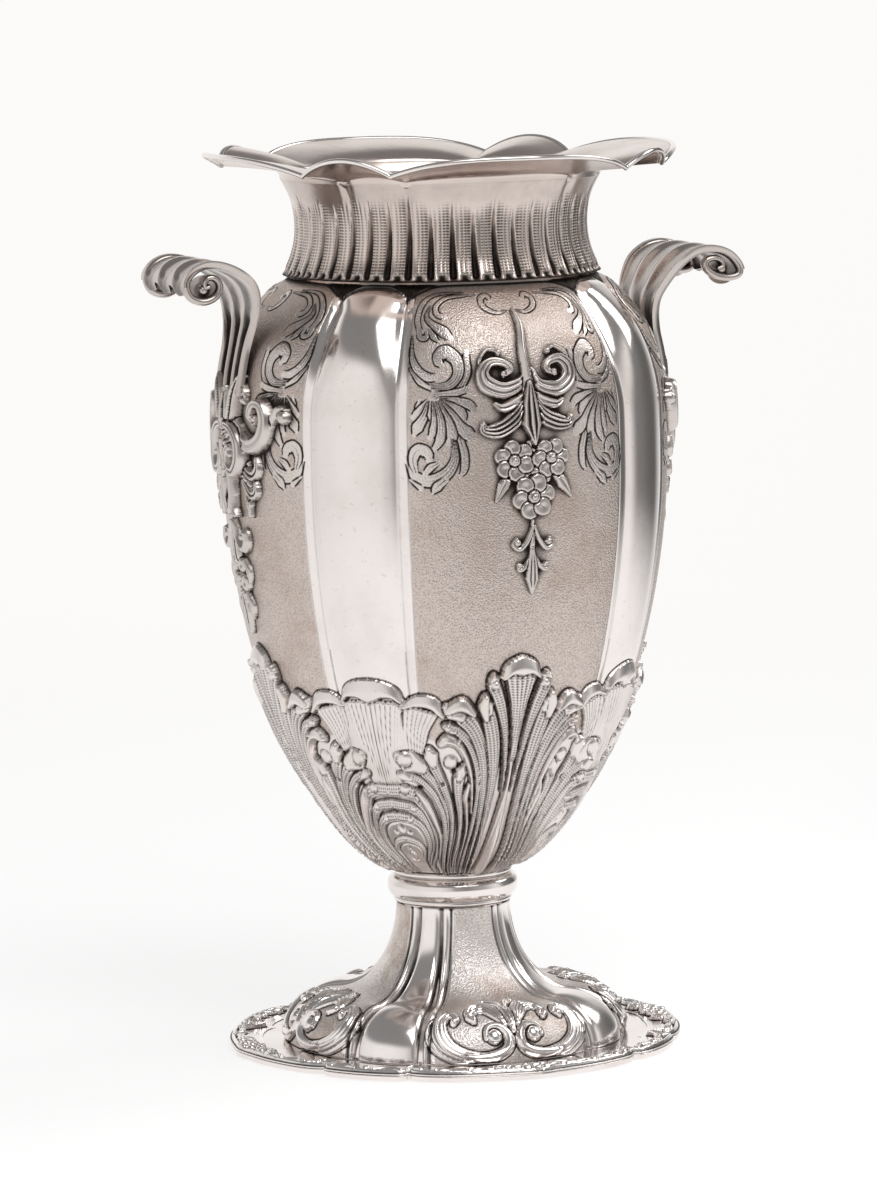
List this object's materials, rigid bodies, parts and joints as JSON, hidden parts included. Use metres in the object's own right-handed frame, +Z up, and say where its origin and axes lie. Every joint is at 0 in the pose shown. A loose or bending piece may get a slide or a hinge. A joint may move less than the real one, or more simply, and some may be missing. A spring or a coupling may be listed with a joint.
{
  "type": "two-handled silver vase",
  "caption": "Tall lobed silver vase with a fluted neck, petalled rim, two scroll handles and a domed pedestal foot; holds flowers and stands on its foot plate.",
  "frame": {"origin": "centre of the foot plate's underside, on the surface that the vase stands on", "axes": "+Z up along the vase, -Y to the front with the flower plaque, +X and -X to the two handles"},
  "size_m": [0.2698, 0.215, 0.4071],
  "materials": {
    "silver_polished": "polished silver with a light warm tarnish",
    "silver_matted": "silver matted with a fine hammered ground, oxidised in the recesses",
    "silver_cast": "cast silver with bright edges and dark recesses",
    "steel_fixing": "plain turned steel"
  },
  "bodies": {
    "root": {"body": "silver_matted", "neck": "silver_polished", "rim_wire": "silver_polished", "knop_ring": "silver_polished", "foot_dome": "silver_polished", "foot_plate": "silver_polished", "foot_border": "silver_cast", "foot_stud": "steel_fixing", "foot_washer": "steel_fixing", "foot_nut": "steel_fixing", "plaque_front": "silver_cast", "flower_cluster_front": "silver_cast", "plaque_drop_front": "silver_cast", "plaque_back": "silver_cast", "flower_cluster_back": "silver_cast", "plaque_drop_back": "silver_cast", "handle_left": "silver_cast", "handle_mount_left": "silver_cast", "handle_pendant_left": "silver_cast", "handle_right": "silver_cast", "handle_mount_right": "silver_cast", "handle_pendant_right": "silver_cast"}
  },
  "joints": []
}
